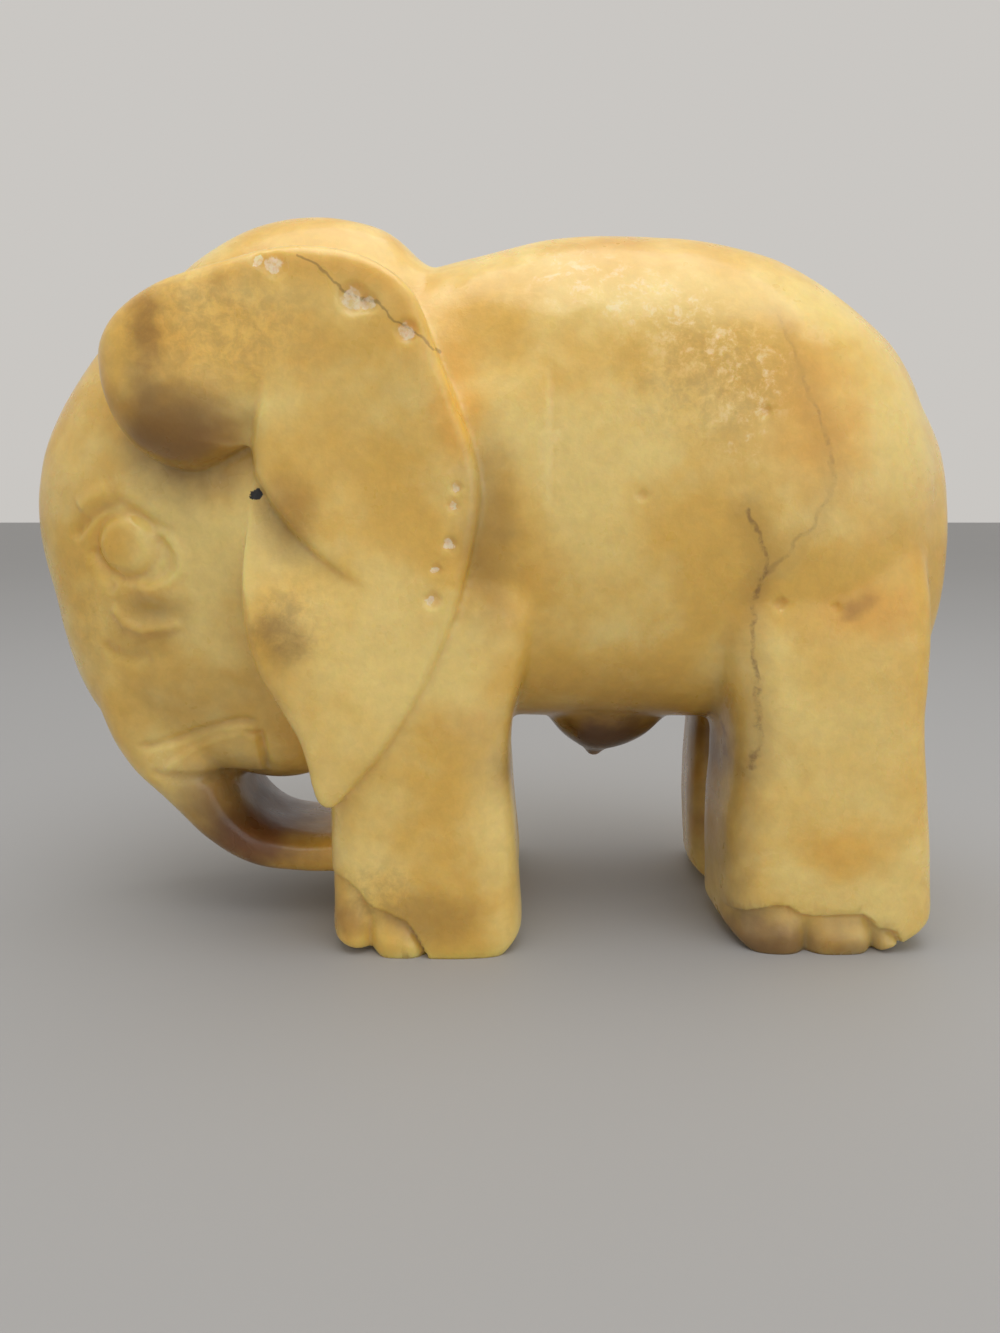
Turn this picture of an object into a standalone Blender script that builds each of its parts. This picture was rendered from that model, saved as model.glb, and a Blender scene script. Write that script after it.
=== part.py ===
"""Alabaster elephant statuette, carved in the round from one block of stone.

Run with: blender --background --python part.py

The elephant stands square on four short column legs with its head lowered and its trunk
curled back under the chin to the front legs. Its head points to -X, its left side to -Y,
and the soles stand on Z = 0. Metres throughout.

The one solid is made as a carver would make it. Lofted masses are roughed out, fused and
rounded over, the ears are set proud of the neck, and then the face, mouth, toenails, tail
and ear folds are cut into the surface.

Free-form points are (along, up) pairs: along is a share of LENGTH from the brow to the
tail, and up is a share of HEIGHT from the soles. Sideways places are shares of half WIDTH.
"""

import math

import bmesh
import bpy
import numpy as np

LENGTH = 0.190
HEIGHT = 0.1455
WIDTH = 0.072
LEG_GAP = 0.0065
TRUNK_WIDTH = 0.033

# GRAIN is the size of the facets the skin is cut in, and WEAR how far its joints are rounded.
GRAIN = LENGTH / 180
BODY_WEAR = 0.0033
EAR_WEAR = 0.0015
DETAIL = 1.0
SOLID_TRIANGLES = 9500
RELIEF_CARE = 1e-6

STONE_COLOUR = (0.71, 0.47, 0.18, 1.0)
STONE_ROUGHNESS = 0.38

# Each torso station is (along, top, bottom, half width).
TORSO_STATIONS = [
    (0.279, 0.825, 0.412, 0.556),
    (0.347, 0.887, 0.330, 0.694),
    (0.421, 0.928, 0.306, 0.792),
    (0.489, 0.951, 0.299, 0.842),
    (0.563, 0.973, 0.296, 0.861),
    (0.642, 0.976, 0.296, 0.878),
    (0.716, 0.970, 0.296, 0.883),
    (0.784, 0.950, 0.296, 0.883),
    (0.842, 0.914, 0.296, 0.867),
    (0.889, 0.869, 0.296, 0.811),
    (0.926, 0.822, 0.299, 0.711),
    (0.952, 0.768, 0.309, 0.594),
    (0.971, 0.724, 0.364, 0.494),
    (0.982, 0.683, 0.419, 0.378),
    (0.986, 0.643, 0.488, 0.250),
    (0.987, 0.605, 0.543, 0.111),
]
TORSO_SQUARENESS = (2.3, 2.6)

HEAD_OUTLINE = [
    (0.447, 0.900),
    (0.417, 0.950),
    (0.387, 0.982),
    (0.347, 0.998),
    (0.300, 1.001),
    (0.247, 0.986),
    (0.197, 0.951),
    (0.153, 0.906),
    (0.111, 0.863),
    (0.070, 0.808),
    (0.033, 0.739),
    (0.007, 0.660),
    (0.000, 0.570),
    (0.013, 0.474),
    (0.026, 0.385),
    (0.052, 0.306),
    (0.103, 0.247),
    (0.179, 0.216),
    (0.289, 0.205),
    (0.395, 0.309),
    (0.458, 0.550),
    (0.447, 0.742),
]
HEAD_CENTRE = (0.262, 0.600)
HEAD_HALF_WIDTH = 0.70
HEAD_SQUARENESS = 2.8

# Each trunk station is (along, up, half thickness as a share of HEIGHT, share of TRUNK_WIDTH).
TRUNK_STATIONS = [
    (0.153, 0.454, 0.137, 1.27),
    (0.125, 0.371, 0.098, 1.21),
    (0.135, 0.278, 0.080, 1.14),
    (0.163, 0.206, 0.055, 1.07),
    (0.194, 0.146, 0.040, 1.02),
    (0.233, 0.107, 0.034, 0.99),
    (0.284, 0.095, 0.032, 0.97),
    (0.358, 0.095, 0.032, 0.95),
]
TRUNK_SQUARENESS = 3.0

# Each leg station, from the sole up, is (up, front, back, outer side as a share).
FRONT_LEG = [
    (-0.02, 0.327, 0.531, 0.925),
    (0.12, 0.328, 0.524, 0.915),
    (0.28, 0.328, 0.517, 0.905),
    (0.36, 0.324, 0.529, 0.895),
    (0.48, 0.316, 0.558, 0.850),
    (0.64, 0.332, 0.584, 0.660),
]
HIND_LEG = [
    (-0.02, 0.752, 0.967, 0.880),
    (0.12, 0.748, 0.958, 0.890),
    (0.28, 0.751, 0.944, 0.900),
    (0.36, 0.739, 0.945, 0.895),
    (0.48, 0.711, 0.943, 0.850),
    (0.64, 0.700, 0.926, 0.660),
]
LEG_SQUARENESS = 5.0
HIND_LEG_SLANT = 0.0026

# The underside of each foot from front to back; below 0 it stands on the ground.
FRONT_SOLE = [
    (0.316, 0.038), (0.329, 0.018), (0.342, 0.010), (0.358, 0.006),
    (0.371, 0.007), (0.382, -0.005), (0.392, -0.014), (0.403, -0.020),
    (0.484, -0.020), (0.497, -0.012), (0.511, 0.000), (0.521, 0.012),
    (0.532, 0.027), (0.542, 0.048),
]
HIND_SOLE = [
    (0.726, 0.048), (0.740, 0.031), (0.754, 0.014), (0.765, 0.003),
    (0.775, -0.005), (0.789, -0.014), (0.805, -0.020), (0.842, -0.020),
    (0.868, -0.011), (0.889, -0.004), (0.911, 0.003), (0.934, 0.016),
    (0.955, 0.032), (0.974, 0.052),
]

# Each belly station is (along, up at its lowest, half width as a share of half WIDTH).
BELLY_STATIONS = [
    (0.553, 0.306, 0.222),
    (0.573, 0.269, 0.333),
    (0.591, 0.249, 0.389),
    (0.611, 0.235, 0.389),
    (0.632, 0.238, 0.389),
    (0.658, 0.249, 0.361),
    (0.679, 0.267, 0.333),
    (0.705, 0.302, 0.222),
]
BELLY_NUB = (0.616, 0.230)
NUB_RADIUS = 0.0022

# Each ear rim point is (along, up, rounding as a share of HEIGHT).
EAR_OUTLINE = [
    (0.119, 0.770, 0.040),
    (0.124, 0.739, 0.042),
    (0.136, 0.705, 0.044),
    (0.156, 0.676, 0.044),
    (0.184, 0.656, 0.044),
    (0.213, 0.653, 0.042),
    (0.242, 0.671, 0.036),
    (0.263, 0.682, 0.024),
    (0.269, 0.649, 0.014),
    (0.262, 0.591, 0.018),
    (0.253, 0.522, 0.022),
    (0.253, 0.454, 0.022),
    (0.266, 0.392, 0.020),
    (0.287, 0.344, 0.018),
    (0.304, 0.306, 0.016),
    (0.313, 0.271, 0.014),
    (0.317, 0.242, 0.014),
    (0.323, 0.220, 0.012),
    (0.334, 0.212, 0.012),
    (0.345, 0.221, 0.012),
    (0.359, 0.243, 0.014),
    (0.382, 0.277, 0.014),
    (0.415, 0.337, 0.014),
    (0.442, 0.403, 0.014),
    (0.461, 0.467, 0.014),
    (0.476, 0.536, 0.014),
    (0.485, 0.612, 0.014),
    (0.479, 0.674, 0.014),
    (0.462, 0.735, 0.014),
    (0.444, 0.801, 0.014),
    (0.425, 0.866, 0.015),
    (0.389, 0.904, 0.016),
    (0.342, 0.920, 0.018),
    (0.289, 0.920, 0.019),
    (0.237, 0.902, 0.023),
    (0.183, 0.880, 0.029),
    (0.141, 0.846, 0.034),
    (0.121, 0.808, 0.037),
]
EAR_CENTRE = (0.347, 0.797)
EAR_ROOT = 0.45
EAR_FACE_TOP = 0.895
EAR_FACE_TIP = 1.0

# Each swelling or hollow is (along, up, reach along, reach up, metres out).
EAR_SWELLINGS = [
    (0.200, 0.749, 0.063, 0.089, 0.0022),
    (0.389, 0.639, 0.058, 0.151, -0.0020),
    (0.295, 0.440, 0.037, 0.062, 0.0014),
    (0.353, 0.344, 0.037, 0.082, 0.0008),
]
CHEEKS = [
    (0.279, 0.577, 0.074, 0.124, 0.0052),
]
BODY_SWELLINGS = [
    (0.484, 0.770, 0.047, 0.103, -0.0017),
    (0.447, 0.426, 0.053, 0.110, 0.0008),
    (0.726, 0.454, 0.037, 0.110, -0.0007),
    (0.868, 0.660, 0.084, 0.137, 0.0005),
    (0.837, 0.495, 0.063, 0.096, 0.0004),
    (0.647, 0.715, 0.116, 0.110, -0.0005),
]

# The fold of the ear, from the notch down: (along, up, metres deep, metres of reach below).
EAR_CREASE = [
    (0.282, 0.773, 0.0000, 0.0040),
    (0.277, 0.745, 0.0008, 0.0045),
    (0.269, 0.715, 0.0020, 0.0050),
    (0.264, 0.681, 0.0032, 0.0055),
    (0.263, 0.650, 0.0040, 0.0080),
    (0.273, 0.622, 0.0042, 0.0110),
    (0.285, 0.597, 0.0040, 0.0120),
    (0.305, 0.565, 0.0033, 0.0120),
    (0.328, 0.537, 0.0022, 0.0100),
    (0.351, 0.515, 0.0009, 0.0080),
    (0.374, 0.496, 0.0000, 0.0060),
]
CREASE_EDGE = 0.0011

EYE = (0.125, 0.553)
EYE_RADIUS = 0.0063
EYE_HEIGHT = 0.0008
# Each line of the face is (metres out, metres of half width, its points).
FACE_LINES = [
    (-0.0010, 0.0011, [(0.064, 0.558), (0.072, 0.573), (0.086, 0.590), (0.103, 0.603), (0.121, 0.609), (0.137, 0.600), (0.152, 0.586), (0.166, 0.576), (0.181, 0.568)]),
    (0.0006, 0.0018, [(0.076, 0.599), (0.095, 0.616), (0.113, 0.627)]),
    (0.0004, 0.0016, [(0.129, 0.625), (0.146, 0.613), (0.165, 0.597)]),
    (-0.0009, 0.0013, [(0.158, 0.570), (0.167, 0.550), (0.167, 0.526), (0.156, 0.511), (0.137, 0.504)]),
    (0.0008, 0.0011, [(0.163, 0.577), (0.175, 0.559), (0.184, 0.543), (0.184, 0.522), (0.171, 0.504), (0.152, 0.499), (0.126, 0.498)]),
    (-0.0006, 0.0010, [(0.085, 0.553), (0.092, 0.533), (0.100, 0.513), (0.109, 0.489)]),
    (0.0008, 0.0011, [(0.102, 0.476), (0.118, 0.449), (0.137, 0.439), (0.157, 0.443), (0.185, 0.449)]),
    (-0.0005, 0.0014, [(0.088, 0.419), (0.103, 0.404), (0.121, 0.398), (0.145, 0.405)]),
    (-0.0011, 0.0009, [(0.113, 0.268), (0.138, 0.274), (0.167, 0.284), (0.197, 0.299), (0.224, 0.309), (0.254, 0.310)]),
    (0.0005, 0.0008, [(0.205, 0.296), (0.227, 0.300), (0.248, 0.302)]),
    (-0.0009, 0.0007, [(0.249, 0.298), (0.251, 0.282), (0.251, 0.261), (0.249, 0.227)]),
    (-0.0007, 0.0010, [(0.124, 0.232), (0.140, 0.224), (0.171, 0.221), (0.199, 0.219), (0.237, 0.223)]),
]
FACE_SWELLINGS = [
    (0.153, 0.488, 0.024, 0.013, 0.0010),
    (0.143, 0.463, 0.022, 0.013, -0.0011),
    (0.121, 0.426, 0.029, 0.021, 0.0005),
]
# The corners of the flat lip beside the mouth.
LIP = [
    (0.143, 0.235), (0.147, 0.246), (0.171, 0.266), (0.200, 0.285),
    (0.230, 0.296), (0.246, 0.284), (0.247, 0.231), (0.188, 0.228),
]
LIP_HEIGHT = 0.0008

# Each soft line of the body is (metres out, reach in front, reach behind, its points).
BODY_LINES = [
    (-0.0011, 0.0090, 0.0018, [(0.545, 0.694), (0.537, 0.650), (0.533, 0.588), (0.527, 0.537), (0.519, 0.485), (0.507, 0.441), (0.494, 0.403), (0.479, 0.364)]),
    (0.0007, 0.0050, 0.0070, [(0.458, 0.900), (0.505, 0.869), (0.553, 0.856), (0.616, 0.863)]),
]

TAIL_TOP = 0.66
TAIL_TIP = 0.34
TAIL_HALF_WIDTH = 0.0040
TAIL_RELIEF = 0.0020

# The line over the toes of each foot, and where each nail starts and ends along the foot.
FRONT_TOE_LINE = [
    (0.311, 0.118), (0.322, 0.117), (0.347, 0.110), (0.359, 0.098),
    (0.366, 0.085), (0.371, 0.075), (0.391, 0.065), (0.411, 0.052),
    (0.420, 0.034), (0.427, 0.016), (0.433, 0.000),
]
FRONT_NAILS = [(0.300, 0.369), (0.372, 0.427)]
HIND_TOE_LINE = [
    (0.737, 0.051), (0.761, 0.059), (0.776, 0.066), (0.791, 0.071),
    (0.805, 0.070), (0.817, 0.060), (0.829, 0.057), (0.852, 0.058),
    (0.882, 0.060), (0.892, 0.052), (0.898, 0.040), (0.908, 0.038),
    (0.918, 0.034), (0.927, 0.015), (0.932, 0.000),
]
HIND_NAILS = [(0.745, 0.825), (0.828, 0.896), (0.900, 0.928)]
NAIL_INSET = 0.0025


def smooth_through(stations, count, closed=False):
    """Points of a Catmull-Rom curve through the stations, spaced evenly in station number."""
    rows = np.asarray(stations, float)
    total = len(rows)
    spans = total if closed else total - 1
    at = np.linspace(0, spans, round(count * DETAIL), endpoint=not closed)
    first = np.minimum(at.astype(int), spans - 1)
    t = (at - first)[:, None]

    def row(offset):
        index = first + offset
        return rows[index % total] if closed else rows[np.clip(index, 0, total - 1)]

    before, start, end, after = row(-1), row(0), row(1), row(2)
    return 0.5 * (
        2 * start
        + (end - before) * t
        + (2 * before - 5 * start + 4 * end - after) * t**2
        + (3 * start - before - 3 * end + after) * t**3
    )


def in_metres(shares):
    """(along, up) shares as x and z in metres."""
    shares = np.asarray(shares, float)
    return np.stack([(shares[..., 0] - 0.5) * LENGTH, shares[..., 1] * HEIGHT], axis=-1)


def sideways(share):
    return share * WIDTH / 2


def rounded(angle, squareness):
    """Cosine and sine of the angle, bulged from an ellipse towards a box."""
    cosine, sine = np.cos(angle), np.sin(angle)
    power = 2 / squareness
    return (
        np.sign(cosine) * np.abs(cosine) ** power,
        np.sign(sine) * np.abs(sine) ** power,
    )


def around(count):
    return np.linspace(0, 2 * math.pi, round(count * DETAIL), endpoint=False)


def as_object(name, shape):
    mesh = bpy.data.meshes.new(name)
    shape.to_mesh(mesh)
    shape.free()
    made = bpy.data.objects.new(name, mesh)
    bpy.context.scene.collection.objects.link(made)
    return made


def loft(name, rings):
    """A closed mesh object through the rings, each an array of points, with flat ends."""
    shape = bmesh.new()
    loops = [[shape.verts.new(point) for point in ring] for ring in rings]
    for one, other in zip(loops, loops[1:]):
        for i in range(len(one)):
            j = (i + 1) % len(one)
            shape.faces.new((one[i], one[j], other[j], other[i]))
    shape.faces.new(reversed(loops[0]))
    shape.faces.new(loops[-1])
    bmesh.ops.recalc_face_normals(shape, faces=shape.faces)
    return as_object(name, shape)


def swellings(points, items):
    """Metres outwards at each (x, z) point for a list of soft swellings and hollows."""
    total = np.zeros(len(points))
    for along, up, reach_along, reach_up, out in items:
        offset = (points - in_metres((along, up))) / (reach_along * LENGTH, reach_up * HEIGHT)
        total += out * np.exp(-(offset**2).sum(axis=1))
    return total


def torso():
    """The barrel, lofted from the neck back: rounder over the spine, squarer at the belly."""
    angle = around(64)
    upper, lower = (rounded(angle, squareness) for squareness in TORSO_SQUARENESS)
    above = np.sin(angle) > 0
    rings = []
    for along, top, bottom, half_width in smooth_through(TORSO_STATIONS, 60):
        y = np.where(above, upper[0], lower[0]) * sideways(half_width)
        up = (top + bottom) / 2 + np.where(above, upper[1], lower[1]) * (top - bottom) / 2
        x = np.full_like(up, (along - 0.5) * LENGTH)
        rings.append(np.stack([x, y, up * HEIGHT], axis=1))
    return loft("torso", rings)


def head():
    """The head, its side outline rounded over like a river stone, fuller at the cheeks."""
    edge = in_metres(smooth_through(HEAD_OUTLINE, 96, closed=True))
    middle = in_metres(HEAD_CENTRE)
    rings = []
    for latitude in np.linspace(-0.49, 0.49, round(41 * DETAIL)) * math.pi:
        reach, lift = rounded(latitude, HEAD_SQUARENESS)
        spot = middle + (edge - middle) * reach
        y = lift * (sideways(HEAD_HALF_WIDTH) + swellings(spot, CHEEKS))
        rings.append(np.stack([spot[:, 0], y, spot[:, 1]], axis=1))
    return loft("head", rings)


def trunk():
    """The trunk, a band of squared oval section that follows its line in the middle plane."""
    rows = smooth_through(TRUNK_STATIONS, 40)
    centres = in_metres(rows[:, :2])
    tangents = np.gradient(centres, axis=0)
    tangents /= np.linalg.norm(tangents, axis=1)[:, None]
    across, out = rounded(around(48), TRUNK_SQUARENESS)
    rings = []
    for (x, z), (tx, tz), row in zip(centres, tangents, rows):
        thick, wide = row[2] * HEIGHT, row[3] * TRUNK_WIDTH / 2
        rings.append(
            np.stack([x - tz * out * thick, across * wide, z + tx * out * thick], axis=1)
        )
    return loft("trunk", rings)


def leg(name, stations, sole, side, slant=0.0):
    """One column leg, on the side -1 or 1; its front stands further out inside by the slant."""
    near = LEG_GAP / 2
    across, along = rounded(around(48), LEG_SQUARENESS)
    ground, top = stations[0][0] * HEIGHT, stations[-1][0] * HEIGHT
    profile = in_metres(sole)
    rings = []

    def ring(up, front, back, outer, share=1.0):
        far = sideways(outer)
        x = ((front + back) / 2 - 0.5 + share * along * (back - front) / 2) * LENGTH
        x = x - share * slant * (1 - across) * (1 - along) / 4
        y = side * ((near + far) / 2 + share * across * (far - near) / 2)
        low = np.interp(x, profile[:, 0], profile[:, 1])
        z = top - (top - up * HEIGHT) * (top - low) / (top - ground)
        rings.append(np.stack([x, y, z], axis=1))

    for share in np.linspace(0.02, 0.95, round(9 * DETAIL)):
        ring(*stations[0], share)
    for station in smooth_through(stations, 26):
        ring(*station)
    return loft(name, rings)


def belly():
    """The fold of skin that hangs under the belly."""
    across, lift = rounded(around(40), 2.2)
    rings = []
    for along, low, half_width in smooth_through(BELLY_STATIONS, 24):
        z = (0.36 + lift * (0.36 - low)) * HEIGHT
        x = np.full_like(z, (along - 0.5) * LENGTH)
        rings.append(np.stack([x, across * sideways(half_width), z], axis=1))
    return loft("belly", rings)


def nub():
    """The small knob at the lowest point of the belly."""
    x, z = in_metres(BELLY_NUB)
    shape = bmesh.new()
    bmesh.ops.create_icosphere(shape, subdivisions=3, radius=NUB_RADIUS)
    bmesh.ops.translate(shape, verts=shape.verts, vec=(x, 0, z + NUB_RADIUS * 0.4))
    return as_object("nub", shape)


def ear_level(points):
    """How far out the ear face stands at each (x, z) point, before its fold is cut."""
    down = 1 - points[:, 1] / (0.916 * HEIGHT)
    level = sideways(EAR_FACE_TOP + (EAR_FACE_TIP - EAR_FACE_TOP) * down)
    return level + swellings(points, EAR_SWELLINGS)


def ear(side):
    """One ear plate, its rim rounded over and its face closed in rings to the middle."""
    rows = smooth_through(EAR_OUTLINE, 144, closed=True)
    rim = in_metres(rows[:, :2])
    radius = rows[:, 2] * HEIGHT
    tangent = np.roll(rim, -1, axis=0) - np.roll(rim, 1, axis=0)
    tangent /= np.linalg.norm(tangent, axis=1)[:, None]
    outward = np.stack([tangent[:, 1], -tangent[:, 0]], axis=1)
    middle = in_metres(EAR_CENTRE)
    rings = []

    def ring(spot, y):
        rings.append(np.stack([spot[:, 0], side * y, spot[:, 1]], axis=1))

    ring(middle + (rim - middle) * 0.94, np.full(len(rim), sideways(EAR_ROOT)))
    for turn in np.linspace(0, 0.5, round(7 * DETAIL)) * math.pi:
        spot = rim - outward * (radius * (1 - math.cos(turn)))[:, None]
        ring(spot, ear_level(spot) - radius * (1 - math.sin(turn)))
    inner = spot
    for share in np.linspace(0.94, 0.02, round(14 * DETAIL)):
        spot = middle + (inner - middle) * share
        ring(spot, ear_level(spot))
    return loft("ear", rings)


def settle(shape):
    """Apply the modifiers of the object to its mesh."""
    depsgraph = bpy.context.evaluated_depsgraph_get()
    mesh = bpy.data.meshes.new_from_object(shape.evaluated_get(depsgraph))
    shape.modifiers.clear()
    shape.data = mesh
    return shape


def fuse(name, pieces, grain, wear):
    """Join the pieces into one skin of that grain, then wear its creases round."""
    shape = bmesh.new()
    for piece in pieces:
        shape.from_mesh(piece.data)
        bpy.data.objects.remove(piece)
    made = as_object(name, shape)
    remesh = made.modifiers.new("one skin", "REMESH")
    remesh.mode = "VOXEL"
    remesh.voxel_size = grain
    soften = made.modifiers.new("wear", "SMOOTH")
    soften.factor = 0.5
    soften.iterations = max(1, round((wear / grain) ** 2))
    return settle(made)


def near_line(points, line):
    """For (x, z) points: distance to the line of shares, side of it, and station number."""
    stations = in_metres([station[:2] for station in line])
    best = np.full(len(points), np.inf)
    side = np.zeros(len(points))
    place = np.zeros(len(points))
    for i, (start, end) in enumerate(zip(stations, stations[1:])):
        run = end - start
        t = np.clip((points - start) @ run / (run @ run), 0, 1)
        offset = points - start - t[:, None] * run
        distance = np.linalg.norm(offset, axis=1)
        closer = distance < best
        best = np.where(closer, distance, best)
        turn = run[0] * offset[:, 1] - run[1] * offset[:, 0]
        side = np.where(closer, np.sign(turn), side)
        place = np.where(closer, i + t, place)
    return best, side, place


def ease(value, low, high):
    """A smooth step from 0 at low to 1 at high."""
    t = np.clip((value - low) / (high - low), 0, 1)
    return t * t * (3 - 2 * t)


def stroke(points, line, out, before, behind):
    """A soft ridge or groove along the line, faded out at both its ends."""
    distance, side, place = near_line(points, line)
    last = len(line) - 1
    fade = ease(place, 0, 0.12 * last) * ease(last - place, 0, 0.12 * last)
    reach = np.where(side < 0, before, behind)
    return out * fade * np.exp(-((distance / reach) ** 2))


def plate(points, corners, edge):
    """1 on a flat raised plate with these corners, in clockwise order, and 0 off it."""
    stations = in_metres(corners)
    inside = np.full(len(points), np.inf)
    for start, end in zip(stations, np.roll(stations, -1, axis=0)):
        run = (end - start) / np.linalg.norm(end - start)
        offset = points - start
        inside = np.minimum(inside, run[1] * offset[:, 0] - run[0] * offset[:, 1])
    return ease(inside, -edge / 2, edge / 2)


def face_relief(points):
    """Metres outwards for the eye and lids, the folds of the cheek and the mouth."""
    radius = np.linalg.norm(points - in_metres(EYE), axis=1)
    out = EYE_HEIGHT * ease(EYE_RADIUS - radius, 0, EYE_RADIUS * 0.45)
    out -= 0.0009 * np.exp(-(((radius - EYE_RADIUS) / 0.0010) ** 2))
    for height, half_width, line in FACE_LINES:
        out += stroke(points, line, height, half_width, half_width)
    out += swellings(points, FACE_SWELLINGS)
    return out + LIP_HEIGHT * plate(points, LIP, 0.0012)


def crease_depth(points):
    """How deep the ear is cut back at each (x, z) point, below the fold of its front edge."""
    distance, side, place = near_line(points, EAR_CREASE)
    stations = range(len(EAR_CREASE))
    deep = np.interp(place, stations, [station[2] for station in EAR_CREASE])
    reach = np.interp(place, stations, [station[3] for station in EAR_CREASE])
    reach = np.where(side < 0, reach, CREASE_EDGE)
    return deep * np.exp(-((distance / reach) ** 2))


def toe_relief(points, line, nails):
    """Metres outwards for the nails, which swell forward from under the line of the toes."""
    stations = in_metres(line)
    height = np.interp(points[:, 0], stations[:, 0], stations[:, 1], left=-1, right=-1)
    below = ease(height - points[:, 1], 0, 0.0008)
    drop = 1 - points[:, 1] / np.maximum(height, 0.001)
    fill = np.zeros(len(points))
    for start, end in nails:
        start, end = (start - 0.5) * LENGTH, (end - 0.5) * LENGTH
        across = (points[:, 0] - (start + end) / 2) / ((end - start) / 2)
        fill = np.maximum(fill, 1 - np.clip(np.abs(across), 0, 1) ** 4)
    return -NAIL_INSET * below * (1 - fill * ease(drop, -0.05, 0.75))


def spots_of(mesh, attribute="vertices", field="co"):
    """The points or normals of the mesh as an array of three columns."""
    values = np.empty(len(mesh.vertices) * 3)
    getattr(mesh, attribute).foreach_get(field, values)
    return values.reshape(-1, 3)


def carve(shape):
    """Cut the relief into the skin, the same on both sides, and return where it is deep."""
    mesh = shape.data
    spots = spots_of(mesh)
    normals = spots_of(mesh, "vertex_normals", "vector")
    side = np.sign(spots[:, 1])
    facing = normals[:, 1] * side
    flank = np.stack([spots[:, 0], spots[:, 2]], axis=1)
    out = np.abs(spots[:, 1])
    level = ear_level(flank)
    on_ear = ease(out - level, -0.0050, -0.0030) * (spots[:, 0] < 0.010)
    cut = np.minimum(0, level - crease_depth(flank) - out) * on_ear
    face = face_relief(flank) * (1 - on_ear) * ease(facing, 0.2, 0.6)
    body = swellings(flank, BODY_SWELLINGS)
    for height, before, behind, line in BODY_LINES:
        body += stroke(flank, line, height, before, behind)
    body *= (1 - on_ear) * ease(facing, 0.0, 0.6)
    outer = ease(out, sideways(0.55), sideways(0.75))
    toes = np.zeros(len(flank))
    for line, nails in ((FRONT_TOE_LINE, FRONT_NAILS), (HIND_TOE_LINE, HIND_NAILS)):
        toes += toe_relief(flank, line, nails) * outer
    spots += normals * face[:, None]
    spots[:, 1] += side * (cut + body + toes)
    up = spots[:, 2] / HEIGHT
    tail = ease(normals[:, 0], 0.2, 0.6) * (1 - ease(out - TAIL_HALF_WIDTH, 0, 0.0012))
    tail *= ease(up, TAIL_TIP, TAIL_TIP + 0.02) * (1 - ease(up, TAIL_TOP, TAIL_TOP + 0.10))
    spots[:, 0] += TAIL_RELIEF * tail
    mesh.vertices.foreach_set("co", spots.ravel())
    mesh.update()
    relief = np.abs(cut) + np.abs(face) + np.abs(toes) > 0.0002
    return relief | ((tail > 0.05) & (tail < 0.95))


def simplify(shape, triangles, relief):
    """Bring the skin down to a few thousand triangles, most of them kept on the relief."""
    plain = shape.vertex_groups.new(name="plain")
    plain.add(np.flatnonzero(~relief).tolist(), 1.0, "REPLACE")
    plain.add(np.flatnonzero(relief).tolist(), 0.5, "REPLACE")
    shape.data.calc_loop_triangles()
    reduce = shape.modifiers.new("fewer facets", "DECIMATE")
    reduce.ratio = triangles / len(shape.data.loop_triangles)
    reduce.use_collapse_triangulate = True
    reduce.vertex_group = "plain"
    reduce.vertex_group_factor = RELIEF_CARE
    return settle(shape)


def flatten_soles(shape):
    """Cut the feet off flat at the ground and close the cuts."""
    work = bmesh.new()
    work.from_mesh(shape.data)
    cut = bmesh.ops.bisect_plane(
        work,
        geom=work.verts[:] + work.edges[:] + work.faces[:],
        dist=1e-6,
        plane_co=(0, 0, 0),
        plane_no=(0, 0, -1),
        clear_outer=True,
    )
    edges = [item for item in cut["geom_cut"] if isinstance(item, bmesh.types.BMEdge)]
    bmesh.ops.holes_fill(work, edges=edges, sides=0)
    bmesh.ops.triangulate(work, faces=work.faces)
    bmesh.ops.recalc_face_normals(work, faces=work.faces)
    work.to_mesh(shape.data)
    work.free()


def fit(shape):
    """Bring the figure to LENGTH, WIDTH and HEIGHT, standing over the middle of its box."""
    mesh = shape.data
    spots = spots_of(mesh)
    low, high = spots.min(axis=0), spots.max(axis=0)
    middle = (low + high) / 2
    spots[:, :2] = (spots[:, :2] - middle[:2]) * (LENGTH, WIDTH) / (high - low)[:2]
    spots[:, 2] = (spots[:, 2] - low[2]) * HEIGHT / (high - low)[2]
    mesh.vertices.foreach_set("co", spots.ravel())
    mesh.update()


def stone():
    material = bpy.data.materials.new("alabaster")
    material.use_nodes = True
    shader = material.node_tree.nodes["Principled BSDF"]
    shader.inputs["Base Color"].default_value = STONE_COLOUR
    shader.inputs["Roughness"].default_value = STONE_ROUGHNESS
    return material


def main():
    for old in list(bpy.data.objects):
        bpy.data.objects.remove(old)
    masses = [torso(), head(), trunk(), belly(), nub()]
    for side in (-1, 1):
        masses.append(leg("front leg", FRONT_LEG, FRONT_SOLE, side))
        masses.append(leg("hind leg", HIND_LEG, HIND_SOLE, side, HIND_LEG_SLANT))
    body = fuse("body", masses, GRAIN, BODY_WEAR)
    elephant = fuse("elephant", [body, ear(-1), ear(1)], GRAIN, EAR_WEAR)
    relief = carve(elephant)
    simplify(elephant, SOLID_TRIANGLES, relief)
    flatten_soles(elephant)
    fit(elephant)
    elephant.data.materials.clear()
    elephant.data.materials.append(stone())


main()
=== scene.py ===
"""The alabaster elephant statuette, carved fine and polished, on a plain pale table.

The elephant stands square on four short column legs with its head lowered and its trunk
curled back under the chin. Its head points to -X, its left side to -Y, and the soles stand
on Z = 0. Free-form points are (along, up) pairs: along is a share of the length from the
brow to the tail, and up is a share of the height from the soles.
"""

import math

import bmesh
import bpy
import numpy as np
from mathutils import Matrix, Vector, noise


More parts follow.
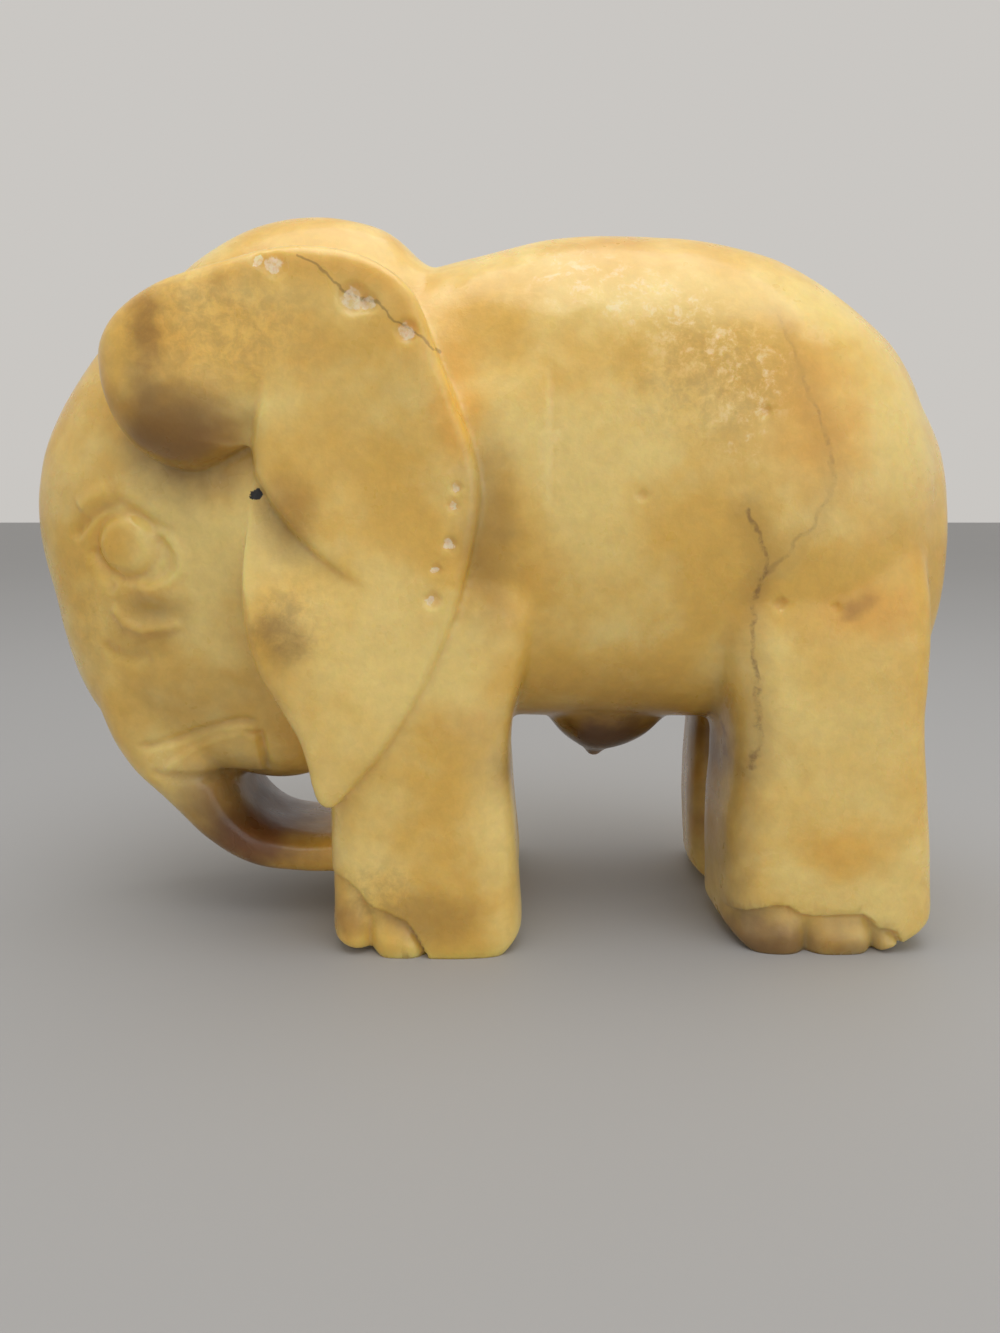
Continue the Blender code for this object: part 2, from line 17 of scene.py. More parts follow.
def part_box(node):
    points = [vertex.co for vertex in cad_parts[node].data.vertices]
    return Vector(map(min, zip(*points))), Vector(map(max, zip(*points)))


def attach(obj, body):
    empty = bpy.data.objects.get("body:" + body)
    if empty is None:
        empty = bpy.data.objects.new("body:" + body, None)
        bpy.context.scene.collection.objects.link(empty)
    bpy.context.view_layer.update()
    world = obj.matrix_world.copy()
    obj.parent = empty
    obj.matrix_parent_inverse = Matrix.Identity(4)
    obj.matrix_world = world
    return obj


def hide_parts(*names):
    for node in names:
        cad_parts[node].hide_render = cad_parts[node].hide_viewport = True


bl_info = {
    "name": "Alabaster Elephant",
    "version": (1, 0, 0),
    "blender": (4, 5, 0),
    "location": "3D View > Sidebar > Elephant",
    "description": "Carves, polishes and sets out an alabaster elephant statuette",
    "category": "Add Mesh",
}

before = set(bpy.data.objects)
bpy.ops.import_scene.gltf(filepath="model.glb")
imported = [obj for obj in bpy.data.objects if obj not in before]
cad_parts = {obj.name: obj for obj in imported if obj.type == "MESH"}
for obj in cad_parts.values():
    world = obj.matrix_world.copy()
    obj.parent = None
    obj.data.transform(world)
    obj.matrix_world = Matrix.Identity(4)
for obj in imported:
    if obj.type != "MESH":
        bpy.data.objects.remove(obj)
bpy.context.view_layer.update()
LOW, HIGH = (np.array(corner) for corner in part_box("elephant"))
LENGTH, WIDTH, HEIGHT = (float(side) for side in HIGH - LOW)

LEG_GAP = 0.0065
TRUNK_WIDTH = 0.033
DETAIL = 2.5

# Each torso station is (along, top, bottom, half width).
TORSO_STATIONS = [
    (0.279, 0.825, 0.412, 0.556),
    (0.347, 0.887, 0.330, 0.694),
    (0.421, 0.928, 0.306, 0.792),
    (0.489, 0.951, 0.299, 0.842),
    (0.563, 0.973, 0.296, 0.861),
    (0.642, 0.976, 0.296, 0.878),
    (0.716, 0.970, 0.296, 0.883),
    (0.784, 0.950, 0.296, 0.883),
    (0.842, 0.914, 0.296, 0.867),
    (0.889, 0.869, 0.296, 0.811),
    (0.926, 0.822, 0.299, 0.711),
    (0.952, 0.768, 0.309, 0.594),
    (0.971, 0.724, 0.364, 0.494),
    (0.982, 0.683, 0.419, 0.378),
    (0.986, 0.643, 0.488, 0.250),
    (0.987, 0.605, 0.543, 0.111),
]
TORSO_SQUARENESS = (2.3, 2.6)

HEAD_OUTLINE = [
    (0.447, 0.900),
    (0.417, 0.950),
    (0.387, 0.982),
    (0.347, 0.998),
    (0.300, 1.001),
    (0.247, 0.986),
    (0.197, 0.951),
    (0.153, 0.906),
    (0.111, 0.863),
    (0.070, 0.808),
    (0.033, 0.739),
    (0.007, 0.660),
    (0.000, 0.570),
    (0.013, 0.474),
    (0.026, 0.385),
    (0.052, 0.306),
    (0.103, 0.247),
    (0.179, 0.216),
    (0.289, 0.205),
    (0.395, 0.309),
    (0.458, 0.550),
    (0.447, 0.742),
]
HEAD_CENTRE = (0.262, 0.600)
HEAD_HALF_WIDTH = 0.70
HEAD_SQUARENESS = 2.8

# Each trunk station is (along, up, half thickness as a share of HEIGHT, share of TRUNK_WIDTH).
TRUNK_STATIONS = [
    (0.153, 0.454, 0.137, 1.27),
    (0.125, 0.371, 0.098, 1.21),
    (0.135, 0.278, 0.080, 1.14),
    (0.163, 0.206, 0.055, 1.07),
    (0.194, 0.146, 0.040, 1.02),
    (0.233, 0.107, 0.034, 0.99),
    (0.284, 0.095, 0.032, 0.97),
    (0.358, 0.095, 0.032, 0.95),
]
TRUNK_SQUARENESS = 3.0

# Each leg station, from the sole up, is (up, front, back, outer side as a share).
FRONT_LEG = [
    (-0.02, 0.327, 0.531, 0.925),
    (0.12, 0.328, 0.524, 0.915),
    (0.28, 0.328, 0.517, 0.905),
    (0.36, 0.324, 0.529, 0.895),
    (0.48, 0.316, 0.558, 0.850),
    (0.64, 0.332, 0.584, 0.660),
]
HIND_LEG = [
    (-0.02, 0.752, 0.967, 0.880),
    (0.12, 0.748, 0.958, 0.890),
    (0.28, 0.751, 0.944, 0.900),
    (0.36, 0.739, 0.945, 0.895),
    (0.48, 0.711, 0.943, 0.850),
    (0.64, 0.700, 0.926, 0.660),
]
LEG_SQUARENESS = 5.0
HIND_LEG_SLANT = 0.0026

# The underside of each foot from front to back; below 0 it stands on the ground.
FRONT_SOLE = [
    (0.316, 0.038), (0.329, 0.018), (0.342, 0.010), (0.358, 0.006),
    (0.371, 0.007), (0.382, -0.005), (0.392, -0.014), (0.403, -0.020),
    (0.484, -0.020), (0.497, -0.012), (0.511, 0.000), (0.521, 0.012),
    (0.532, 0.027), (0.542, 0.048),
]
HIND_SOLE = [
    (0.726, 0.048), (0.740, 0.031), (0.754, 0.014), (0.765, 0.003),
    (0.775, -0.005), (0.789, -0.014), (0.805, -0.020), (0.842, -0.020),
    (0.868, -0.011), (0.889, -0.004), (0.911, 0.003), (0.934, 0.016),
    (0.955, 0.032), (0.974, 0.052),
]

# Each belly station is (along, up at its lowest, half width as a share of half WIDTH).
BELLY_STATIONS = [
    (0.553, 0.306, 0.222),
    (0.573, 0.269, 0.333),
    (0.591, 0.249, 0.389),
    (0.611, 0.235, 0.389),
    (0.632, 0.238, 0.389),
    (0.658, 0.249, 0.361),
    (0.679, 0.267, 0.333),
    (0.705, 0.302, 0.222),
]
BELLY_TOP = 0.36
BELLY_SQUARENESS = 2.2
BELLY_NUB = (0.616, 0.230)
NUB_RADIUS = 0.0022

# Each ear rim point is (along, up, rounding as a share of HEIGHT).
EAR_OUTLINE = [
    (0.119, 0.770, 0.040),
    (0.124, 0.739, 0.042),
    (0.136, 0.705, 0.044),
    (0.156, 0.676, 0.044),
    (0.184, 0.656, 0.044),
    (0.213, 0.653, 0.042),
    (0.242, 0.671, 0.036),
    (0.263, 0.682, 0.024),
    (0.269, 0.649, 0.014),
    (0.262, 0.591, 0.018),
    (0.253, 0.522, 0.022),
    (0.253, 0.454, 0.022),
    (0.266, 0.392, 0.020),
    (0.287, 0.344, 0.018),
    (0.304, 0.306, 0.016),
    (0.313, 0.271, 0.014),
    (0.317, 0.242, 0.014),
    (0.323, 0.220, 0.012),
    (0.334, 0.212, 0.012),
    (0.345, 0.221, 0.012),
    (0.359, 0.243, 0.014),
    (0.382, 0.277, 0.014),
    (0.415, 0.337, 0.014),
    (0.442, 0.403, 0.014),
    (0.461, 0.467, 0.014),
    (0.476, 0.536, 0.014),
    (0.485, 0.612, 0.014),
    (0.479, 0.674, 0.014),
    (0.462, 0.735, 0.014),
    (0.444, 0.801, 0.014),
    (0.425, 0.866, 0.015),
    (0.389, 0.904, 0.016),
    (0.342, 0.920, 0.018),
    (0.289, 0.920, 0.019),
    (0.237, 0.902, 0.023),
    (0.183, 0.880, 0.029),
    (0.141, 0.846, 0.034),
    (0.121, 0.808, 0.037),
]
EAR_CENTRE = (0.347, 0.797)
EAR_ROOT = 0.45
EAR_FACE_TOP = 0.895
EAR_FACE_TIP = 1.0
EAR_TOP = 0.916
# The ears lie forward of EAR_BACK, and the skin this far below their face counts as ear.
EAR_BACK = 0.010
EAR_SKIN = (0.0050, 0.0030)

# Each swelling or hollow is (along, up, reach along, reach up, metres out).
EAR_SWELLINGS = [
    (0.200, 0.749, 0.063, 0.089, 0.0022),
    (0.389, 0.639, 0.058, 0.151, -0.0020),
    (0.295, 0.440, 0.037, 0.062, 0.0014),
    (0.353, 0.344, 0.037, 0.082, 0.0008),
]
CHEEKS = [
    (0.279, 0.577, 0.074, 0.124, 0.0052),
]
BODY_SWELLINGS = [
    (0.484, 0.770, 0.047, 0.103, -0.0017),
    (0.447, 0.426, 0.053, 0.110, 0.0008),
    (0.726, 0.454, 0.037, 0.110, -0.0007),
    (0.868, 0.660, 0.084, 0.137, 0.0005),
    (0.837, 0.495, 0.063, 0.096, 0.0004),
    (0.647, 0.715, 0.116, 0.110, -0.0005),
]

# The fold of the ear, from the notch down: (along, up, metres deep, metres of reach below).
EAR_CREASE = [
    (0.282, 0.773, 0.0000, 0.0040),
    (0.277, 0.745, 0.0008, 0.0045),
    (0.269, 0.715, 0.0020, 0.0050),
    (0.264, 0.681, 0.0032, 0.0055),
    (0.263, 0.650, 0.0040, 0.0080),
    (0.273, 0.622, 0.0042, 0.0110),
    (0.285, 0.597, 0.0040, 0.0120),
    (0.305, 0.565, 0.0033, 0.0120),
    (0.328, 0.537, 0.0022, 0.0100),
    (0.351, 0.515, 0.0009, 0.0080),
    (0.374, 0.496, 0.0000, 0.0060),
]
CREASE_EDGE = 0.0011

EYE = (0.125, 0.553)
EYE_RADIUS = 0.0063
EYE_HEIGHT = 0.0008
EYE_SLOPE = 0.45
# The groove round the eye is (metres deep, metres of half width).
LID_GROOVE = (0.0009, 0.0010)
# Each line of the face is (metres out, metres of half width, its points).
FACE_LINES = [
    (-0.0010, 0.0011, [
        (0.064, 0.558), (0.072, 0.573), (0.086, 0.590), (0.103, 0.603), (0.121, 0.609),
        (0.137, 0.600), (0.152, 0.586), (0.166, 0.576), (0.181, 0.568),
    ]),
    (0.0006, 0.0018, [(0.076, 0.599), (0.095, 0.616), (0.113, 0.627)]),
    (0.0004, 0.0016, [(0.129, 0.625), (0.146, 0.613), (0.165, 0.597)]),
    (-0.0009, 0.0013, [
        (0.158, 0.570), (0.167, 0.550), (0.167, 0.526), (0.156, 0.511), (0.137, 0.504),
    ]),
    (0.0008, 0.0011, [
        (0.163, 0.577), (0.175, 0.559), (0.184, 0.543), (0.184, 0.522), (0.171, 0.504),
        (0.152, 0.499), (0.126, 0.498),
    ]),
    (-0.0006, 0.0010, [(0.085, 0.553), (0.092, 0.533), (0.100, 0.513), (0.109, 0.489)]),
    (0.0008, 0.0011, [
        (0.102, 0.476), (0.118, 0.449), (0.137, 0.439), (0.157, 0.443), (0.185, 0.449),
    ]),
    (-0.0005, 0.0014, [(0.088, 0.419), (0.103, 0.404), (0.121, 0.398), (0.145, 0.405)]),
    (-0.0011, 0.0009, [
        (0.113, 0.268), (0.138, 0.274), (0.167, 0.284), (0.197, 0.299), (0.224, 0.309),
        (0.254, 0.310),
    ]),
    (0.0005, 0.0008, [(0.205, 0.296), (0.227, 0.300), (0.248, 0.302)]),
    (-0.0009, 0.0007, [(0.249, 0.298), (0.251, 0.282), (0.251, 0.261), (0.249, 0.227)]),
    (-0.0007, 0.0010, [
        (0.124, 0.232), (0.140, 0.224), (0.171, 0.221), (0.199, 0.219), (0.237, 0.223),
    ]),
]
FACE_SWELLINGS = [
    (0.153, 0.488, 0.024, 0.013, 0.0010),
    (0.143, 0.463, 0.022, 0.013, -0.0011),
    (0.121, 0.426, 0.029, 0.021, 0.0005),
]
# The corners of the flat lip beside the mouth.
LIP = [
    (0.143, 0.235), (0.147, 0.246), (0.171, 0.266), (0.200, 0.285),
    (0.230, 0.296), (0.246, 0.284), (0.247, 0.231), (0.188, 0.228),
]
LIP_HEIGHT = 0.0008
LIP_EDGE = 0.0012

# Each soft line of the body is (metres out, reach in front, reach behind, its points).
BODY_LINES = [
    (-0.0011, 0.0090, 0.0018, [
        (0.545, 0.694), (0.537, 0.650), (0.533, 0.588), (0.527, 0.537), (0.519, 0.485),
        (0.507, 0.441), (0.494, 0.403), (0.479, 0.364),
    ]),
    (0.0007, 0.0050, 0.0070, [(0.458, 0.900), (0.505, 0.869), (0.553, 0.856), (0.616, 0.863)]),
]

TAIL_TOP = 0.66
TAIL_TIP = 0.34
TAIL_HALF_WIDTH = 0.0040
TAIL_RELIEF = 0.0020
TAIL_EDGE = 0.0012

# The line over the toes of each foot, and where each nail starts and ends along the foot.
FRONT_TOE_LINE = [
    (0.311, 0.118), (0.322, 0.117), (0.347, 0.110), (0.359, 0.098),
    (0.366, 0.085), (0.371, 0.075), (0.391, 0.065), (0.411, 0.052),
    (0.420, 0.034), (0.427, 0.016), (0.433, 0.000),
]
FRONT_NAILS = [(0.300, 0.369), (0.372, 0.427)]
HIND_TOE_LINE = [
    (0.737, 0.051), (0.761, 0.059), (0.776, 0.066), (0.791, 0.071),
    (0.805, 0.070), (0.817, 0.060), (0.829, 0.057), (0.852, 0.058),
    (0.882, 0.060), (0.892, 0.052), (0.898, 0.040), (0.908, 0.038),
    (0.918, 0.034), (0.927, 0.015), (0.932, 0.000),
]
HIND_NAILS = [(0.745, 0.825), (0.828, 0.896), (0.900, 0.928)]
NAIL_INSET = 0.0025
NAIL_EDGE = 0.0008


def smooth_through(stations, count, closed=False):
    """Points of a Catmull-Rom curve through the stations, spaced evenly in station number."""
    rows = np.asarray(stations, float)
    total = len(rows)
    spans = total if closed else total - 1
    at = np.linspace(0, spans, round(count * DETAIL), endpoint=not closed)
    first = np.minimum(at.astype(int), spans - 1)
    t = (at - first)[:, None]

    def row(offset):
        index = first + offset
        return rows[index % total] if closed else rows[np.clip(index, 0, total - 1)]

    before, start, end, after = row(-1), row(0), row(1), row(2)
    return 0.5 * (
        2 * start
        + (end - before) * t
        + (2 * before - 5 * start + 4 * end - after) * t**2
        + (3 * start - before - 3 * end + after) * t**3
    )


def in_metres(shares):
    """(along, up) shares as x and z in metres."""
    shares = np.asarray(shares, float)
    return np.stack([(shares[..., 0] - 0.5) * LENGTH, shares[..., 1] * HEIGHT], axis=-1)


def sideways(share):
    return share * WIDTH / 2


def rounded(angle, squareness):
    """Cosine and sine of the angle, bulged from an ellipse towards a box."""
    cosine, sine = np.cos(angle), np.sin(angle)
    power = 2 / squareness
    return (
        np.sign(cosine) * np.abs(cosine) ** power,
        np.sign(sine) * np.abs(sine) ** power,
    )


def around(count):
    return np.linspace(0, 2 * math.pi, round(count * DETAIL), endpoint=False)


def as_object(name, shape):
    mesh = bpy.data.meshes.new(name)
    shape.to_mesh(mesh)
    shape.free()
    made = bpy.data.objects.new(name, mesh)
    bpy.context.scene.collection.objects.link(made)
    return made


def loft(name, rings):
    """A closed mesh object through the rings, each an array of points, with flat ends."""
    shape = bmesh.new()
    loops = [[shape.verts.new(point) for point in ring] for ring in rings]
    for one, other in zip(loops, loops[1:]):
        for i in range(len(one)):
            j = (i + 1) % len(one)
            shape.faces.new((one[i], one[j], other[j], other[i]))
    shape.faces.new(reversed(loops[0]))
    shape.faces.new(loops[-1])
    bmesh.ops.recalc_face_normals(shape, faces=shape.faces)
    return as_object(name, shape)


def swellings(points, items):
    """Metres outwards at each (x, z) point for a list of soft swellings and hollows."""
    total = np.zeros(len(points))
    for along, up, reach_along, reach_up, out in items:
        offset = (points - in_metres((along, up))) / (reach_along * LENGTH, reach_up * HEIGHT)
        total += out * np.exp(-(offset**2).sum(axis=1))
    return total


def torso():
    """The barrel, lofted from the neck back: rounder over the spine, squarer at the belly."""
    angle = around(64)
    upper, lower = (rounded(angle, squareness) for squareness in TORSO_SQUARENESS)
    above = np.sin(angle) > 0
    rings = []
    for along, top, bottom, half_width in smooth_through(TORSO_STATIONS, 60):
        y = np.where(above, upper[0], lower[0]) * sideways(half_width)
        up = (top + bottom) / 2 + np.where(above, upper[1], lower[1]) * (top - bottom) / 2
        x = np.full_like(up, (along - 0.5) * LENGTH)
        rings.append(np.stack([x, y, up * HEIGHT], axis=1))
    return loft("torso", rings)


def head():
    """The head, its side outline rounded over like a river stone, fuller at the cheeks."""
    edge = in_metres(smooth_through(HEAD_OUTLINE, 96, closed=True))
    middle = in_metres(HEAD_CENTRE)
    rings = []
    for latitude in np.linspace(-0.49, 0.49, round(41 * DETAIL)) * math.pi:
        reach, lift = rounded(latitude, HEAD_SQUARENESS)
        spot = middle + (edge - middle) * reach
        y = lift * (sideways(HEAD_HALF_WIDTH) + swellings(spot, CHEEKS))
        rings.append(np.stack([spot[:, 0], y, spot[:, 1]], axis=1))
    return loft("head", rings)


def trunk():
    """The trunk, a band of squared oval section that follows its line in the middle plane."""
    rows = smooth_through(TRUNK_STATIONS, 40)
    centres = in_metres(rows[:, :2])
    tangents = np.gradient(centres, axis=0)
    tangents /= np.linalg.norm(tangents, axis=1)[:, None]
    across, out = rounded(around(48), TRUNK_SQUARENESS)
    rings = []
    for (x, z), (tx, tz), row in zip(centres, tangents, rows):
        thick, wide = row[2] * HEIGHT, row[3] * TRUNK_WIDTH / 2
        rings.append(
            np.stack([x - tz * out * thick, across * wide, z + tx * out * thick], axis=1)
        )
    return loft("trunk", rings)


def leg(name, stations, sole, side, slant=0.0):
    """One column leg, on the side -1 or 1; its front stands further out inside by the slant."""
    near = LEG_GAP / 2
    across, along = rounded(around(48), LEG_SQUARENESS)
    ground, top = stations[0][0] * HEIGHT, stations[-1][0] * HEIGHT
    profile = in_metres(sole)
    rings = []

    def ring(up, front, back, outer, share=1.0):
        far = sideways(outer)
        x = ((front + back) / 2 - 0.5 + share * along * (back - front) / 2) * LENGTH
        x = x - share * slant * (1 - across) * (1 - along) / 4
        y = side * ((near + far) / 2 + share * across * (far - near) / 2)
        low = np.interp(x, profile[:, 0], profile[:, 1])
        z = top - (top - up * HEIGHT) * (top - low) / (top - ground)
        rings.append(np.stack([x, y, z], axis=1))

    for share in np.linspace(0.02, 0.95, round(9 * DETAIL)):
        ring(*stations[0], share)
    for station in smooth_through(stations, 26):
        ring(*station)
    return loft(name, rings)


def belly():
    """The fold of skin that hangs under the belly."""
    across, lift = rounded(around(40), BELLY_SQUARENESS)
    rings = []
    for along, low, half_width in smooth_through(BELLY_STATIONS, 24):
        z = (BELLY_TOP + lift * (BELLY_TOP - low)) * HEIGHT
        x = np.full_like(z, (along - 0.5) * LENGTH)
        rings.append(np.stack([x, across * sideways(half_width), z], axis=1))
    return loft("belly", rings)


def nub():
    """The small knob at the lowest point of the belly."""
    x, z = in_metres(BELLY_NUB)
    shape = bmesh.new()
    bmesh.ops.create_icosphere(shape, subdivisions=3, radius=NUB_RADIUS)
    bmesh.ops.translate(shape, verts=shape.verts, vec=(x, 0, z + NUB_RADIUS * 0.4))
    return as_object("nub", shape)


def ear_level(points):
    """How far out the ear face stands at each (x, z) point, before its fold is cut."""
    down = 1 - points[:, 1] / (EAR_TOP * HEIGHT)
    level = sideways(EAR_FACE_TOP + (EAR_FACE_TIP - EAR_FACE_TOP) * down)
    return level + swellings(points, EAR_SWELLINGS)


def ear(side):
    """One ear plate, its rim rounded over and its face closed in rings to the middle."""
    rows = smooth_through(EAR_OUTLINE, 144, closed=True)
    rim = in_metres(rows[:, :2])
    radius = rows[:, 2] * HEIGHT
    tangent = np.roll(rim, -1, axis=0) - np.roll(rim, 1, axis=0)
    tangent /= np.linalg.norm(tangent, axis=1)[:, None]
    outward = np.stack([tangent[:, 1], -tangent[:, 0]], axis=1)
    middle = in_metres(EAR_CENTRE)
    rings = []

    def ring(spot, y):
        rings.append(np.stack([spot[:, 0], side * y, spot[:, 1]], axis=1))

    ring(middle + (rim - middle) * 0.94, np.full(len(rim), sideways(EAR_ROOT)))
    for turn in np.linspace(0, 0.5, round(7 * DETAIL)) * math.pi:
        spot = rim - outward * (radius * (1 - math.cos(turn)))[:, None]
        ring(spot, ear_level(spot) - radius * (1 - math.sin(turn)))
    inner = spot
    for share in np.linspace(0.94, 0.02, round(14 * DETAIL)):
        spot = middle + (inner - middle) * share
        ring(spot, ear_level(spot))
    return loft("ear", rings)


def settle(shape):
    """Apply the modifiers of the object to its mesh."""
    depsgraph = bpy.context.evaluated_depsgraph_get()
    mesh = bpy.data.meshes.new_from_object(shape.evaluated_get(depsgraph))
    shape.modifiers.clear()
    shape.data = mesh
    return shape


def fuse(name, pieces, grain, wear):
    """Join the pieces into one skin of that grain, then wear its creases round."""
    shape = bmesh.new()
    for piece in pieces:
        shape.from_mesh(piece.data)
        bpy.data.objects.remove(piece)
    made = as_object(name, shape)
    remesh = made.modifiers.new("one skin", "REMESH")
    remesh.mode = "VOXEL"
    remesh.voxel_size = grain
    soften = made.modifiers.new("wear", "SMOOTH")
    soften.factor = 0.5
    soften.iterations = max(1, round((wear / grain) ** 2))
    return settle(made)


def near_line(points, line):
    """For (x, z) points: distance to the line of shares, side of it, and station number."""
    stations = in_metres([station[:2] for station in line])
    best = np.full(len(points), np.inf)
    side = np.zeros(len(points))
    place = np.zeros(len(points))
    for i, (start, end) in enumerate(zip(stations, stations[1:])):
        run = end - start
        t = np.clip((points - start) @ run / (run @ run), 0, 1)
        offset = points - start - t[:, None] * run
        distance = np.linalg.norm(offset, axis=1)
        closer = distance < best
        best = np.where(closer, distance, best)
        turn = run[0] * offset[:, 1] - run[1] * offset[:, 0]
        side = np.where(closer, np.sign(turn), side)
        place = np.where(closer, i + t, place)
    return best, side, place


def ease(value, low, high):
    """A smooth step from 0 at low to 1 at high."""
    t = np.clip((value - low) / (high - low), 0, 1)
    return t * t * (3 - 2 * t)


def stroke(points, line, out, before, behind):
    """A soft ridge or groove along the line, faded out at both its ends."""
    distance, side, place = near_line(points, line)
    last = len(line) - 1
    fade = ease(place, 0, 0.12 * last) * ease(last - place, 0, 0.12 * last)
    reach = np.where(side < 0, before, behind)
    return out * fade * np.exp(-((distance / reach) ** 2))


def plate(points, corners, edge):
    """1 on a flat raised plate with these corners, in clockwise order, and 0 off it."""
    stations = in_metres(corners)
    inside = np.full(len(points), np.inf)
    for start, end in zip(stations, np.roll(stations, -1, axis=0)):
        run = (end - start) / np.linalg.norm(end - start)
        offset = points - start
        inside = np.minimum(inside, run[1] * offset[:, 0] - run[0] * offset[:, 1])
    return ease(inside, -edge / 2, edge / 2)


def face_relief(points):
    """Metres outwards for the eye and lids, the folds of the cheek and the mouth."""
    radius = np.linalg.norm(points - in_metres(EYE), axis=1)
    deep, half_width = LID_GROOVE
    out = EYE_HEIGHT * ease(EYE_RADIUS - radius, 0, EYE_RADIUS * EYE_SLOPE)
    out -= deep * np.exp(-(((radius - EYE_RADIUS) / half_width) ** 2))
    for height, half_width, line in FACE_LINES:
        out += stroke(points, line, height, half_width, half_width)
    out += swellings(points, FACE_SWELLINGS)
    return out + LIP_HEIGHT * plate(points, LIP, LIP_EDGE)


def crease_depth(points):
    """How deep the ear is cut back at each (x, z) point, below the fold of its front edge."""
    distance, side, place = near_line(points, EAR_CREASE)
    stations = range(len(EAR_CREASE))
    deep = np.interp(place, stations, [station[2] for station in EAR_CREASE])
    reach = np.interp(place, stations, [station[3] for station in EAR_CREASE])
    reach = np.where(side < 0, reach, CREASE_EDGE)
    return deep * np.exp(-((distance / reach) ** 2))


def toe_relief(points, line, nails):
    """Metres outwards for the nails, which swell forward from under the line of the toes."""
    stations = in_metres(line)
    height = np.interp(points[:, 0], stations[:, 0], stations[:, 1], left=-1, right=-1)
    below = ease(height - points[:, 1], 0, NAIL_EDGE)
    drop = 1 - points[:, 1] / np.maximum(height, 0.001)
    fill = np.zeros(len(points))
    for start, end in nails:
        start, end = (start - 0.5) * LENGTH, (end - 0.5) * LENGTH
        across = (points[:, 0] - (start + end) / 2) / ((end - start) / 2)
        fill = np.maximum(fill, 1 - np.clip(np.abs(across), 0, 1) ** 4)
    return -NAIL_INSET * below * (1 - fill * ease(drop, -0.05, 0.75))


def spots_of(mesh, attribute="vertices", field="co"):
    """The points or normals of the mesh as an array of three columns."""
    values = np.empty(len(mesh.vertices) * 3)
    getattr(mesh, attribute).foreach_get(field, values)
    return values.reshape(-1, 3)


def carve(shape):
    """Cut the relief into the skin, the same on both sides."""
    mesh = shape.data
    spots = spots_of(mesh)
    normals = spots_of(mesh, "vertex_normals", "vector")
    side = np.sign(spots[:, 1])
    facing = normals[:, 1] * side
    flank = np.stack([spots[:, 0], spots[:, 2]], axis=1)
    out = np.abs(spots[:, 1])
    level = ear_level(flank)
    on_ear = ease(out - level, -EAR_SKIN[0], -EAR_SKIN[1]) * (spots[:, 0] < EAR_BACK)
    cut = np.minimum(0, level - crease_depth(flank) - out) * on_ear
    face = face_relief(flank) * (1 - on_ear) * ease(facing, 0.2, 0.6)
    body = swellings(flank, BODY_SWELLINGS)
    for height, before, behind, line in BODY_LINES:
        body += stroke(flank, line, height, before, behind)
    body *= (1 - on_ear) * ease(facing, 0.0, 0.6)
    outer = ease(out, sideways(0.55), sideways(0.75))
    toes = np.zeros(len(flank))
    for line, nails in ((FRONT_TOE_LINE, FRONT_NAILS), (HIND_TOE_LINE, HIND_NAILS)):
        toes += toe_relief(flank, line, nails) * outer
    spots += normals * face[:, None]
    spots[:, 1] += side * (cut + body + toes)
    up = spots[:, 2] / HEIGHT
    tail = ease(normals[:, 0], 0.2, 0.6) * (1 - ease(out - TAIL_HALF_WIDTH, 0, TAIL_EDGE))
    tail *= ease(up, TAIL_TIP, TAIL_TIP + 0.02) * (1 - ease(up, TAIL_TOP, TAIL_TOP + 0.10))
    spots[:, 0] += TAIL_RELIEF * tail
    mesh.vertices.foreach_set("co", spots.ravel())
    mesh.update()


# Each fresh chip or old pit of the left side is (along, up, metres across, metres deep).
CHIPS = [
    (0.369, 0.856, 0.0046, 0.0009),
    (0.383, 0.852, 0.0030, 0.0006),
    (0.419, 0.818, 0.0034, 0.0008),
    (0.297, 0.895, 0.0038, 0.0004),
    (0.282, 0.900, 0.0024, 0.0003),
    (0.464, 0.629, 0.0018, 0.0005),
    (0.461, 0.605, 0.0018, 0.0004),
    (0.457, 0.558, 0.0022, 0.0005),
    (0.444, 0.526, 0.0018, 0.0004),
    (0.440, 0.487, 0.0026, 0.0006),
]
PITS = [
    (0.783, 0.480, 0.0022, 0.0006),
    (0.643, 0.619, 0.0018, 0.0004),
    (0.761, 0.724, 0.0016, 0.0004),
    (0.837, 0.476, 0.0016, 0.0003),
]
# Hand-worked unevenness as (metres from one swell to the next, metres out).
UNEVENNESS = [(0.017, 0.00030), (0.0065, 0.00010)]

# Dark veins of the hind quarter, how far each leans as it goes in, and how dark it is.
VEINS = [
    [
        (0.750, 0.598), (0.766, 0.556), (0.772, 0.524), (0.763, 0.486), (0.762, 0.434),
        (0.769, 0.355), (0.774, 0.301), (0.771, 0.260),
    ],
    [
        (0.799, 0.843), (0.812, 0.759), (0.829, 0.687), (0.834, 0.638), (0.818, 0.588),
        (0.786, 0.537), (0.772, 0.515),
    ],
]
VEIN_LEANS = (0.35, 0.55)
VEIN_STRENGTHS = (0.55, 0.28)
# The mended break across the back corner of the ear, and the streak of crystal haze.
BREAK_LINE = [
    (0.319, 0.906), (0.340, 0.889), (0.367, 0.863),
    (0.395, 0.852), (0.418, 0.822), (0.446, 0.799),
]
HAZE_LINE = [
    (0.567, 0.907), (0.605, 0.891), (0.643, 0.863), (0.691, 0.830),
    (0.719, 0.805), (0.756, 0.761), (0.737, 0.708),
]
# A black speck on the left cheek.
SPECK = (0.268, 0.619)
SPECK_RADIUS = 0.0012
SPECK_COLOUR = (0.004, 0.003, 0.004, 1)

